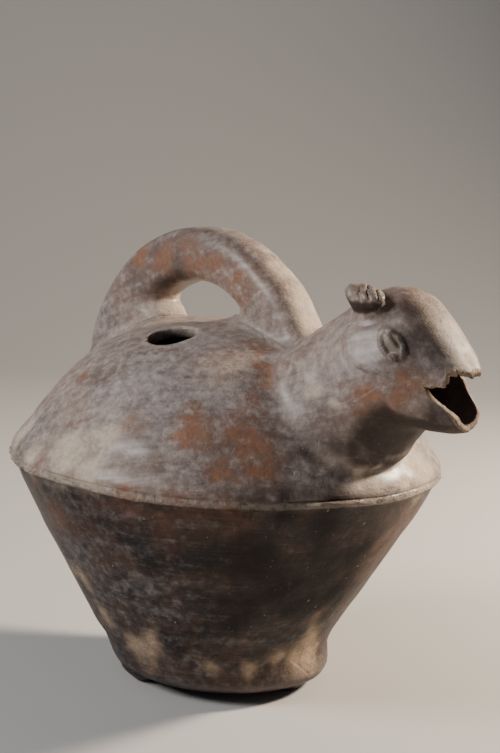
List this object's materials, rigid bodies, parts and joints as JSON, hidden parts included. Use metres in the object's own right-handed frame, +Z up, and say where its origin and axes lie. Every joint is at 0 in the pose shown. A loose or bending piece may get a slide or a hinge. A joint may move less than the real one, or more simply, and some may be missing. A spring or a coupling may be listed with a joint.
{
  "type": "clay pot with a loop handle and an animal-head spout",
  "caption": "Hollow keeled clay pot with a loop handle, a round filling hole and an open animal-head spout, standing on small feet.",
  "frame": {"origin": "middle of the base's underside, on the body's axis; the feet reach 3.5 mm below it", "axes": "+Z up along the body's axis, +X the way the animal head looks, in the plane of the handle; +Y to the head's left"},
  "size_m": [0.2884, 0.24, 0.2524],
  "materials": {
    "fired_clay": "burnished dark brown fired clay under a dusty grey film, worn to sandy clay on edges"
  },
  "bodies": {
    "root": {"clay_pot": "fired_clay"}
  },
  "joints": []
}
